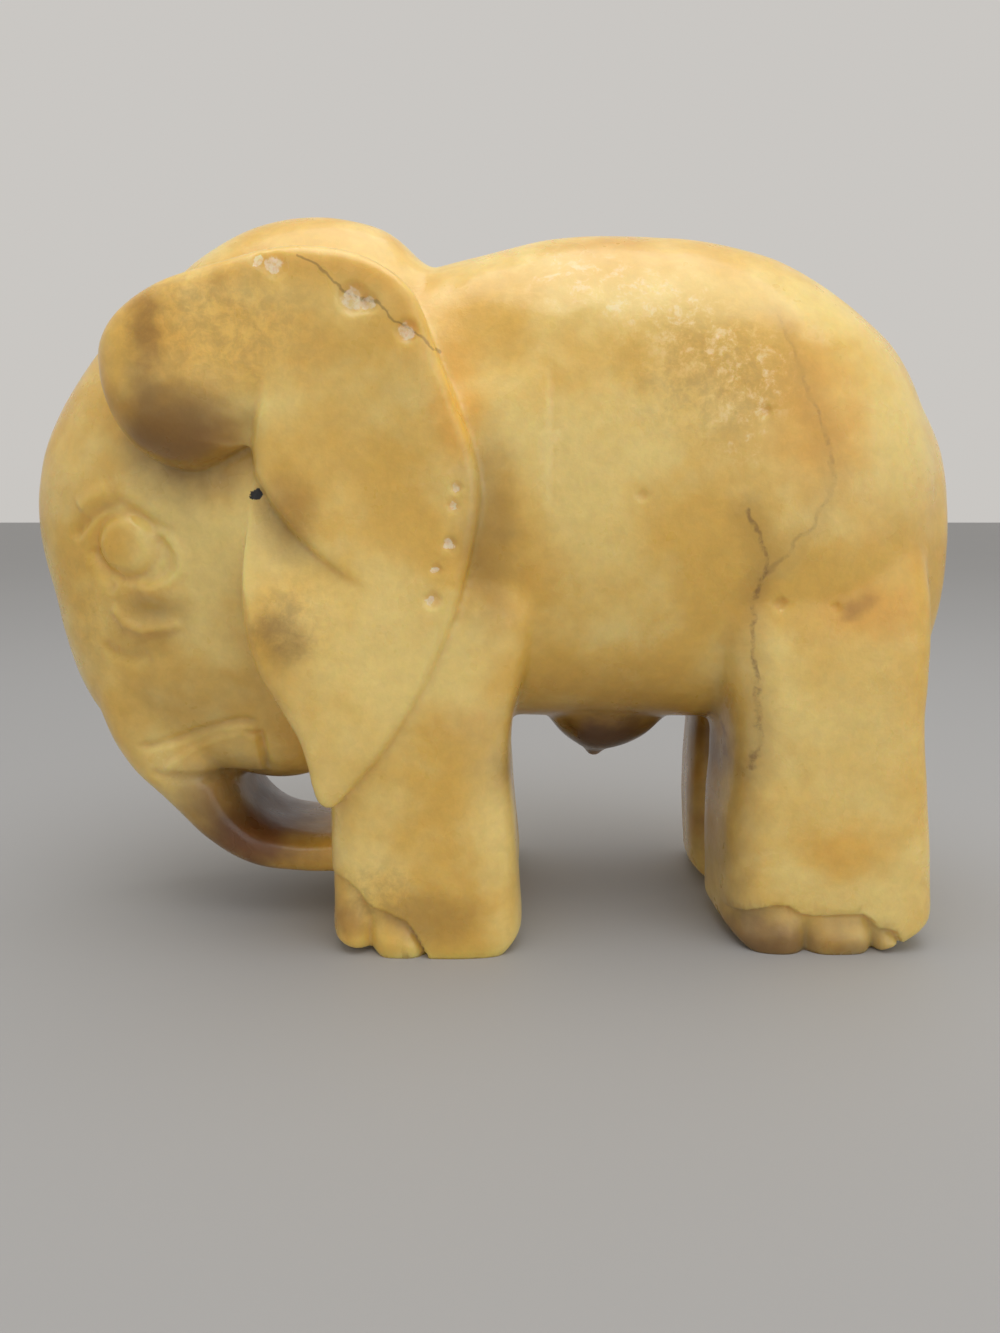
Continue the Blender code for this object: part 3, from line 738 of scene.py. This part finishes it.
# Stain colours, which also tint the painted shade under the belly, in the fold of the ear and
# at the left hind foot; the stone takes the stains up like a dye.
STAIN_AND_SHADE_TINTS = {
    "rust": (0.22, 0.13, 0.13, 1),
    "brown": (0.44, 0.38, 0.42, 1),
    "tan": (0.72, 0.68, 0.66, 1),
    "gold": (0.98, 0.84, 0.58, 1),
    "olive": (0.66, 0.59, 0.54, 1),
}
# Each stain or patch of painted shade is (tint, along, up, reach along, reach up, 1 if it goes
# right through).
STAINS_AND_PAINTED_SHADE = [
    ("rust", 0.226, 0.124, 0.105, 0.089, 1),
    ("brown", 0.216, 0.192, 0.116, 0.089, 1),
    ("tan", 0.174, 0.316, 0.158, 0.137, 0),
    # The next three darken the underside of the belly: partly the stone's own browner tone
    # there, partly painted shade where the belly turns away from the light.
    ("brown", 0.626, 0.265, 0.179, 0.048, 1),
    ("brown", 0.626, 0.247, 0.189, 0.103, 1),
    ("tan", 0.626, 0.302, 0.242, 0.131, 1),
    ("olive", 0.195, 0.687, 0.100, 0.103, 0),
    ("tan", 0.195, 0.701, 0.079, 0.076, 0),
    ("tan", 0.200, 0.674, 0.105, 0.089, 0),
    ("olive", 0.174, 0.811, 0.026, 0.110, 0),
    ("gold", 0.258, 0.804, 0.116, 0.089, 0),
    ("gold", 0.468, 0.742, 0.037, 0.110, 0),
    ("gold", 0.868, 0.474, 0.068, 0.055, 0),
    ("tan", 0.858, 0.481, 0.032, 0.027, 0),
    ("gold", 0.863, 0.151, 0.068, 0.062, 0),
    ("tan", 0.295, 0.440, 0.042, 0.062, 0),
    ("tan", 0.321, 0.062, 0.042, 0.062, 0),
    ("olive", 0.353, 0.048, 0.026, 0.034, 0),
    # The next two are painted shade on the left hind foot, darkest under the line of the toes
    # and at the ground.
    ("brown", 0.763, 0.021, 0.084, 0.069, 0),
    ("brown", 0.826, -0.014, 0.168, 0.082, 0),
    ("gold", 0.816, 0.715, 0.074, 0.151, 0),
    ("tan", 0.737, 0.165, 0.032, 0.220, 1),
    ("tan", 0.753, 0.165, 0.042, 0.206, 1),
    # Partly a brownish tone of the stone, partly painted shade in the fold of the ear.
    ("tan", 0.300, 0.591, 0.047, 0.082, 0),
    ("tan", 0.142, 0.454, 0.074, 0.082, 0),
    ("tan", 0.495, 0.577, 0.042, 0.206, 0),
    ("tan", 0.437, 0.055, 0.074, 0.062, 0),
]
# Each pale patch is (along, up, reach along, reach up), milky in the stone.
MILKY = [
    (0.337, 0.289, 0.063, 0.137),
    (0.332, 0.426, 0.063, 0.137),
    (0.395, 0.412, 0.063, 0.179),
    (0.868, 0.275, 0.105, 0.247),
    (0.511, 0.206, 0.063, 0.137),
    (0.668, 0.880, 0.211, 0.082),
    (0.332, 0.948, 0.137, 0.062),
    (0.911, 0.687, 0.105, 0.179),
    (0.595, 0.577, 0.074, 0.096),
    (0.047, 0.660, 0.042, 0.137),
]
# Each granular patch is (along, up, reach along, reach up), where crystals show.
GRANULAR = [
    (0.237, 0.825, 0.126, 0.103),
    (0.711, 0.770, 0.116, 0.117),
    (0.300, 0.454, 0.053, 0.069),
    (0.384, 0.089, 0.053, 0.069),
    (0.068, 0.454, 0.053, 0.165),
]


class ElephantForm(bpy.types.PropertyGroup):
    """Sizes of the carving that a user may change."""

    grain: bpy.props.FloatProperty(
        name="Grain",
        description="Size of the facets that the skin is first cut in",
        default=0.00060,
        unit="LENGTH",
    )
    facets: bpy.props.IntProperty(
        name="Facets",
        description="Triangles left in the finished skin",
        default=190000,
        subtype="UNSIGNED",
    )
    body_wear: bpy.props.FloatProperty(
        name="Body wear",
        description="How far the joints between the masses are worn round",
        default=0.0033,
        unit="LENGTH",
    )
    ear_wear: bpy.props.FloatProperty(
        name="Ear wear",
        description="How far the joints around the ears are worn round",
        default=0.0013,
        unit="LENGTH",
    )


class AlabasterFinish(bpy.types.PropertyGroup):
    """Colours and gloss of the stone."""

    honey: bpy.props.FloatVectorProperty(
        name="Honey",
        description="Main colour of the stone",
        subtype="COLOR",
        size=4,
        min=0,
        max=1,
        default=(0.79, 0.498, 0.102, 1),
    )
    cream: bpy.props.FloatVectorProperty(
        name="Cream",
        description="Paler clouds in the stone",
        subtype="COLOR",
        size=4,
        min=0,
        max=1,
        default=(0.90, 0.685, 0.240, 1),
    )
    amber: bpy.props.FloatVectorProperty(
        name="Amber",
        description="Deeper orange clouds in the stone",
        subtype="COLOR",
        size=4,
        min=0,
        max=1,
        default=(0.66, 0.31, 0.040, 1),
    )
    umber: bpy.props.FloatVectorProperty(
        name="Umber",
        description="Brown of the veins and of the mended break",
        subtype="COLOR",
        size=4,
        min=0,
        max=1,
        default=(0.16, 0.070, 0.028, 1),
    )
    white: bpy.props.FloatVectorProperty(
        name="White",
        description="Crystal haze and fresh chips",
        subtype="COLOR",
        size=4,
        min=0,
        max=1,
        default=(0.95, 0.84, 0.62, 1),
    )
    gloss: bpy.props.FloatProperty(
        name="Gloss",
        description="How strongly the wax coat shines",
        subtype="FACTOR",
        min=0,
        max=1,
        default=0.25,
    )
    glow: bpy.props.FloatProperty(
        name="Glow",
        description="How far light travels inside the stone",
        default=0.006,
        unit="LENGTH",
    )


class TableSetting(bpy.types.PropertyGroup):
    """The table, the lights and the camera."""

    table_colour: bpy.props.FloatVectorProperty(
        name="Table colour",
        description="Colour of the plain table",
        subtype="COLOR",
        size=4,
        min=0,
        max=1,
        default=(0.40, 0.40, 0.40, 1),
    )
    table_size: bpy.props.FloatProperty(
        name="Table size",
        description="Half the side of the table",
        default=4.0,
        unit="LENGTH",
    )
    overhead: bpy.props.FloatProperty(
        name="Overhead light",
        description="Power of the soft light above",
        default=3.0,
        unit="POWER",
    )
    room: bpy.props.FloatProperty(
        name="Room light",
        description="Strength of the pale room around",
        default=0.60,
        min=0,
    )
    eye_point: bpy.props.FloatVectorProperty(
        name="Camera place",
        description="Where the camera stands",
        subtype="TRANSLATION",
        default=(0.0014, -0.2186, 0.089),
    )
    tilt: bpy.props.FloatProperty(
        name="Camera tilt",
        description="How far the camera looks down",
        subtype="ANGLE",
        default=math.radians(9.4),
    )
    lens: bpy.props.FloatProperty(
        name="Lens",
        description="Focal length of the camera",
        default=27.0,
        unit="CAMERA",
    )


def simplify(shape, triangles):
    """Bring the skin down to the number of triangles given."""
    shape.data.calc_loop_triangles()
    reduce = shape.modifiers.new("fewer facets", "DECIMATE")
    reduce.ratio = min(1.0, triangles / len(shape.data.loop_triangles))
    reduce.use_collapse_triangulate = True
    return settle(shape)


def flatten_soles(shape):
    """Cut the feet off flat at the ground and close the cuts."""
    work = bmesh.new()
    work.from_mesh(shape.data)
    cut = bmesh.ops.bisect_plane(
        work,
        geom=work.verts[:] + work.edges[:] + work.faces[:],
        dist=1e-6,
        plane_co=(0, 0, 0),
        plane_no=(0, 0, -1),
        clear_outer=True,
    )
    edges = [item for item in cut["geom_cut"] if isinstance(item, bmesh.types.BMEdge)]
    filled = bmesh.ops.holes_fill(work, edges=edges, sides=0)
    for face in work.faces:
        face.smooth = True
    for face in filled["faces"]:
        face.smooth = False
    bmesh.ops.recalc_face_normals(work, faces=work.faces)
    work.to_mesh(shape.data)
    work.free()


def fit(shape):
    """Bring the figure to the size of its solid, standing where the solid stands."""
    mesh = shape.data
    spots = spots_of(mesh)
    low, high = spots.min(axis=0), spots.max(axis=0)
    spots = LOW + (spots - low) * (HIGH - LOW) / (high - low)
    mesh.vertices.foreach_set("co", spots.ravel())
    mesh.update()


def weather(shape):
    """Chips and pits of the left side, and the unevenness of hand work all over."""
    mesh = shape.data
    spots = spots_of(mesh)
    normals = spots_of(mesh, "vertex_normals", "vector")
    flank = np.stack([spots[:, 0], spots[:, 2]], axis=1)
    left = ease(-normals[:, 1], 0.15, 0.5) * (spots[:, 1] < 0)
    out = np.zeros(len(spots))
    for along, up, across, deep in CHIPS + PITS:
        distance = np.linalg.norm(flank - in_metres((along, up)), axis=1)
        out -= deep * (1 - ease(distance, across * 0.35, across * 0.75)) * left
    for length, height in UNEVENNESS:
        swell = [noise.noise(spot) for spot in (spots / length).tolist()]
        out += height * np.array(swell)
    spots += normals * out[:, None]
    mesh.vertices.foreach_set("co", spots.ravel())
    mesh.update()


class Recipe:
    """The shader nodes of one material, added and linked with short calls."""

    def __init__(self, name):
        self.material = bpy.data.materials.new(name)
        self.material.use_nodes = True
        self.tree = self.material.node_tree
        self.shader = self.tree.nodes["Principled BSDF"]
        self.at = self.add("TexCoord").outputs["Object"]

    def add(self, kind, **settings):
        node = self.tree.nodes.new("ShaderNode" + kind)
        for name, value in settings.items():
            setattr(node, name, value)
        return node

    def feed(self, sockets, values):
        for socket, value in zip(sockets, values):
            if isinstance(value, bpy.types.NodeSocket):
                self.tree.links.new(value, socket)
            elif value is not None:
                socket.default_value = value

    def sum(self, operation, *values):
        """The result of one arithmetic step on numbers."""
        node = self.add("Math", operation=operation)
        self.feed(node.inputs, values)
        return node.outputs[0]

    def move(self, operation, *values):
        """The result of one step on points; a length or a dot product is a number."""
        node = self.add("VectorMath", operation=operation)
        self.feed(node.inputs, values)
        return node.outputs["Value" if operation in ("LENGTH", "DOT_PRODUCT") else "Vector"]

    def ramp(self, value, low, high, start=0.0, end=1.0):
        """Start below low, end above high, and a smooth change between."""
        node = self.add("MapRange", interpolation_type="SMOOTHSTEP")
        self.feed(node.inputs, (value, low, high, start, end))
        return node.outputs[0]

    def clouds(self, size, detail=3.0, roughness=0.5, at=None, colour=False):
        """Cloudy noise whose clouds are about size across, in metres."""
        node = self.add("TexNoise")
        self.feed(node.inputs, (at or self.at, None, 1 / size, detail, roughness))
        return node.outputs["Color" if colour else "Fac"]

    def warped(self, size, reach):
        """The place on the stone, shifted by up to reach in clouds of that size."""
        shift = self.move("SUBTRACT", self.clouds(size, colour=True), (0.5, 0.5, 0.5))
        scale = self.move("SCALE", shift)
        scale.node.inputs["Scale"].default_value = 2 * reach
        return self.move("ADD", self.at, scale)

    def patch(self, at, along, up, reach_along, reach_up, through=0, soft=0.25):
        """1 inside a rounded patch of the left side and 0 outside, or right through."""
        x, z = in_metres((along, up))
        y, reach_y = (0.0, WIDTH) if through else (-WIDTH / 2, WIDTH * 0.36)
        offset = self.move("SUBTRACT", at, (float(x), y, float(z)))
        reach = (reach_along * LENGTH, reach_y, reach_up * HEIGHT)
        return self.ramp(self.move("LENGTH", self.move("DIVIDE", offset, reach)), 1.0, soft)

    def patches(self, at, items):
        """1 inside any of the patches."""
        best = self.patch(at, *items[0])
        for item in items[1:]:
            best = self.sum("MAXIMUM", best, self.patch(at, *item))
        return best

    def thread(self, at, line, lean=0.0):
        """Distance to a line of (along, up) places that runs through the stone sideways."""
        near = -sideways(0.93)
        ends = [(float(x), 0.0, float(z)) for x, z in in_metres(line)]
        split = self.add("SeparateXYZ")
        self.feed(split.inputs, (at,))
        x, y, z = split.outputs
        depth = self.sum("SUBTRACT", y, near)
        x = self.sum("ADD", x, self.sum("MULTIPLY", depth, lean))
        join = self.add("CombineXYZ")
        self.feed(join.inputs, (x, 0.0, z))
        best = None
        for start, end in zip(ends, ends[1:]):
            run = Vector(end) - Vector(start)
            offset = self.move("SUBTRACT", join.outputs[0], start)
            share = self.move("DOT_PRODUCT", offset, tuple(run / run.length_squared))
            clamp = self.add("Clamp")
            self.feed(clamp.inputs, (share, 0.0, 1.0))
            along = self.move("SCALE", tuple(run))
            self.feed((along.node.inputs["Scale"],), (clamp.outputs[0],))
            distance = self.move("LENGTH", self.move("SUBTRACT", offset, along))
            best = distance if best is None else self.sum("MINIMUM", best, distance)
        return best

    def blend(self, amount, one, other, kind="MIX"):
        node = self.add("Mix", data_type="RGBA", blend_type=kind)
        self.feed((node.inputs[0], node.inputs[6], node.inputs[7]), (amount, one, other))
        return node.outputs[2]


# How far the places of the figure wander in the stone: (metres across a cloud, metres).
DRIFT = (0.018, 0.005)
RAGGED = (0.007, 0.004)
FINE = (0.004, 0.0016)
CRUMBLY = (0.0014, 0.0013)

# Metres across one cloud, streak, crystal, crumb, worn spot and grain of the stone.
CLOUD_SIZE = 0.030
STREAK_SIZE = 0.024
CRYSTAL_SIZE = 0.0028
CRUMB_SIZE = 0.0012
WORN_SIZE = 0.010
GRAIN_SIZE = 0.0035
GRAIN_HEIGHT = 0.0004

# Metres from the middle of a vein, its brown halo, the break and the haze to their edges.
VEIN_REACH = 0.0007
HALO_REACH = 0.0050
BREAK_REACH = 0.00035
HAZE_REACH = 0.0100
THREAD_CORE = 0.0001


def clouded(stone, finish):
    """The clouds of the block: honey, cream and amber, with milky patches, stains and painted
    shade under the belly, in the fold of the ear and at the left hind foot.
    """
    honey, cream, amber = tuple(finish.honey), tuple(finish.cream), tuple(finish.amber)
    drift, ragged = stone.warped(*DRIFT), stone.warped(*RAGGED)
    clouds = stone.clouds(CLOUD_SIZE, 4, 0.55, drift)
    colour = stone.blend(stone.ramp(clouds, 0.40, 0.64), honey, cream)
    flow = stone.clouds(STREAK_SIZE, 3, 0.5, drift)
    colour = stone.blend(stone.ramp(flow, 0.58, 0.80, 0, 0.45), colour, amber)
    thick = stone.ramp(clouds, 0.2, 0.6, 0.4, 0.9)
    milk = stone.sum("MULTIPLY", stone.patches(ragged, MILKY), thick)
    colour = stone.blend(milk, colour, cream)
    # The stains, and the painted shade under the belly, in the fold of the ear and at the left
    # hind foot.
    for stain_or_shade_tint, *place in STAINS_AND_PAINTED_SHADE:
        colour = stone.blend(stone.patch(ragged, *place), colour, STAIN_AND_SHADE_TINTS[stain_or_shade_tint], "MULTIPLY")
    return colour, drift, ragged


def veined(stone, colour, near, crystals, umber):
    """The dark veins, each with a brown halo and worn in places, and the mended break."""
    worn = stone.ramp(crystals, 0.40, 0.60, 0.15, 1.0)
    for lean, strength, line in zip(VEIN_LEANS, VEIN_STRENGTHS, VEINS):
        vein = stone.thread(near, line, lean)
        halo = stone.ramp(vein, HALO_REACH, 0.0004, 0, strength * 0.5)
        colour = stone.blend(halo, colour, STAIN_AND_SHADE_TINTS["brown"], "MULTIPLY")
        dark = stone.ramp(vein, VEIN_REACH, THREAD_CORE, 0, strength)
        colour = stone.blend(stone.sum("MULTIPLY", dark, worn), colour, umber)
    crack = stone.ramp(stone.thread(near, BREAK_LINE), BREAK_REACH, THREAD_CORE, 0, 0.45)
    return stone.blend(crack, colour, umber)


def chipped(stone, colour, crumbly, white):
    """The white crumbs of stone in each chip."""
    places = []
    for along, up, across, _ in CHIPS:
        places.append((along, up, across / 2 / LENGTH, across / 2 / HEIGHT))
    crumbs = stone.ramp(stone.clouds(CRUMB_SIZE, 3, 0.7), 0.34, 0.62, 0.30, 0.85)
    inside = stone.ramp(stone.patches(crumbly, places), 0.0, 0.4)
    return stone.blend(stone.sum("MULTIPLY", inside, crumbs), colour, white)


def speck(stone, colour, crumbly):
    """The black speck, a ragged dot on the left side of the cheek."""
    x, z = in_metres(SPECK)
    away = stone.move("SUBTRACT", crumbly, (float(x), -WIDTH / 2, float(z)))
    away = stone.move("DIVIDE", away, (SPECK_RADIUS, WIDTH / 2, SPECK_RADIUS))
    dot = stone.ramp(stone.move("LENGTH", away), 1.0, 0.85)
    return stone.blend(dot, colour, SPECK_COLOUR)


def alabaster(finish):
    """Waxy honey alabaster with clouds, stains, painted shade, veins, crystal haze and a mended
    break.
    """
    stone = Recipe("honey alabaster")
    umber, white = tuple(finish.umber), tuple(finish.white)
    colour, drift, ragged = clouded(stone, finish)

    near = stone.warped(*FINE)
    crystals = stone.clouds(CRYSTAL_SIZE, 5, 0.72, near)
    shade = stone.ramp(crystals, 0.25, 0.75, 0.94, 1.06)
    colour = stone.blend(1.0, colour, shade, "MULTIPLY")
    dark = stone.ramp(crystals, 0.34, 0.66, 0.22, 0.0)
    grains = stone.sum("MULTIPLY", stone.patches(ragged, GRANULAR), dark)
    colour = stone.blend(grains, colour, STAIN_AND_SHADE_TINTS["rust"], "MULTIPLY")
    colour = veined(stone, colour, near, crystals, umber)
    crumbly = stone.warped(*CRUMBLY)
    colour = chipped(stone, colour, crumbly, white)
    streak = stone.ramp(stone.thread(drift, HAZE_LINE), HAZE_REACH, 0.0010)
    crust = stone.ramp(crystals, 0.50, 0.68, 0, 0.45)
    colour = stone.blend(stone.sum("MULTIPLY", streak, crust), colour, white)
    colour = speck(stone, colour, crumbly)

    stone.feed((stone.shader.inputs["Base Color"],), (colour,))
    polish = stone.clouds(WORN_SIZE, 3, 0.6)
    stone.feed((stone.shader.inputs["Roughness"],), (stone.ramp(polish, 0.3, 0.7, 0.24, 0.42),))
    values = {
        "Subsurface Weight": 0.55,
        "Subsurface Radius": (1.0, 0.55, 0.22),
        "Subsurface Scale": finish.glow,
        "Specular IOR Level": 0.5,
        "Coat Weight": finish.gloss,
        "Coat Roughness": 0.12,
    }
    for name, value in values.items():
        stone.shader.inputs[name].default_value = value
    bump = stone.add("Bump")
    bump.inputs["Strength"].default_value = 0.35
    bump.inputs["Distance"].default_value = GRAIN_HEIGHT
    stone.feed((bump.inputs["Height"],), (stone.clouds(GRAIN_SIZE, 4, 0.6),))
    stone.feed((stone.shader.inputs["Normal"],), (bump.outputs[0],))
    return stone.material


class ALABASTER_OT_elephant(bpy.types.Operator):
    """Carve the elephant and give it its polished stone"""

    bl_idname = "alabaster.elephant"
    bl_label = "Carve the elephant"

    def execute(self, context):
        form = context.scene.elephant_form
        masses = [torso(), head(), trunk(), belly(), nub()]
        for side in (-1, 1):
            masses.append(leg("front leg", FRONT_LEG, FRONT_SOLE, side))
            masses.append(leg("hind leg", HIND_LEG, HIND_SOLE, side, HIND_LEG_SLANT))
        body = fuse("body", masses, form.grain, form.body_wear)
        figure = fuse("carved_elephant", [body, ear(-1), ear(1)], form.grain, form.ear_wear)
        carve(figure)
        weather(figure)
        simplify(figure, form.facets)
        flatten_soles(figure)
        fit(figure)
        figure.data.materials.clear()
        figure.data.materials.append(alabaster(context.scene.alabaster_finish))
        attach(figure, "root")
        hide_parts("elephant")
        return {"FINISHED"}


def table(setting):
    """A plain pale table that reaches out to the horizon."""
    shape = bmesh.new()
    bmesh.ops.create_grid(shape, x_segments=8, y_segments=8, size=setting.table_size)
    floor = as_object("table_top", shape)
    top = Recipe("matt pale table")
    shade = top.clouds(0.5, 2)
    pale = tuple(setting.table_colour)
    worn = (pale[0] * 0.94, pale[1] * 0.94, pale[2] * 0.95, 1)
    top.feed((top.shader.inputs["Base Color"],), (top.blend(shade, pale, worn),))
    top.shader.inputs["Roughness"].default_value = 0.65
    floor.data.materials.append(top.material)


def lamp(name, power, size, place, aim=(0, 0, 0.07)):
    """A soft square light at the place, turned to the aim."""
    light = bpy.data.lights.new(name, "AREA")
    light.energy, light.size = power, size
    made = bpy.data.objects.new(name, light)
    made.location = place
    made.rotation_euler = (Vector(aim) - Vector(place)).to_track_quat("-Z", "Y").to_euler()
    bpy.context.scene.collection.objects.link(made)


# Each soft light is (metres across, its place).
OVERHEAD = (0.7, (0.05, -0.10, 0.75))
WINDOW = (0.9, (0.55, -0.75, 0.35))
WINDOW_SHARE = 0.5
ROOM_COLOUR = (0.98, 0.95, 0.91, 1)


class ALABASTER_OT_stage(bpy.types.Operator):
    """Set out the table, the lights and the camera"""

    bl_idname = "alabaster.stage"
    bl_label = "Set the table, lights and camera"

    def execute(self, context):
        scene = context.scene
        setting = scene.table_setting
        table(setting)
        lamp("overhead", setting.overhead, *OVERHEAD)
        lamp("window", setting.overhead * WINDOW_SHARE, *WINDOW)
        room = bpy.data.worlds.new("pale room")
        room.use_nodes = True
        light = room.node_tree.nodes["Background"]
        light.inputs["Color"].default_value = ROOM_COLOUR
        light.inputs["Strength"].default_value = setting.room
        scene.world = room
        view = bpy.data.cameras.new("camera")
        view.lens, view.sensor_width = setting.lens, 36.0
        view.clip_start = 0.01
        camera = bpy.data.objects.new("camera", view)
        camera.location = setting.eye_point
        camera.rotation_euler = (math.pi / 2 - setting.tilt, 0, 0)
        scene.collection.objects.link(camera)
        scene.camera = camera
        scene.view_settings.view_transform = "Standard"
        return {"FINISHED"}


OPERATORS = (ALABASTER_OT_elephant, ALABASTER_OT_stage)


class ALABASTER_PT_panel(bpy.types.Panel):
    bl_label = "Alabaster elephant"
    bl_idname = "ALABASTER_PT_panel"
    bl_space_type = "VIEW_3D"
    bl_region_type = "UI"
    bl_category = "Elephant"

    def draw(self, context):
        for group in SETTINGS:
            box = self.layout.box()
            settings = getattr(context.scene, group)
            for name in settings.__annotations__:
                box.prop(settings, name)
        for operator in OPERATORS:
            self.layout.operator(operator.bl_idname)


SETTINGS = {
    "elephant_form": ElephantForm,
    "alabaster_finish": AlabasterFinish,
    "table_setting": TableSetting,
}
CLASSES = (*SETTINGS.values(), *OPERATORS, ALABASTER_PT_panel)


def register():
    for item in CLASSES:
        bpy.utils.register_class(item)
    for name, group in SETTINGS.items():
        setattr(bpy.types.Scene, name, bpy.props.PointerProperty(type=group))


def unregister():
    for name in SETTINGS:
        delattr(bpy.types.Scene, name)
    for item in reversed(CLASSES):
        bpy.utils.unregister_class(item)


def main():
    register()
    bpy.ops.alabaster.elephant()
    bpy.ops.alabaster.stage()


if __name__ == "__main__":
    main()
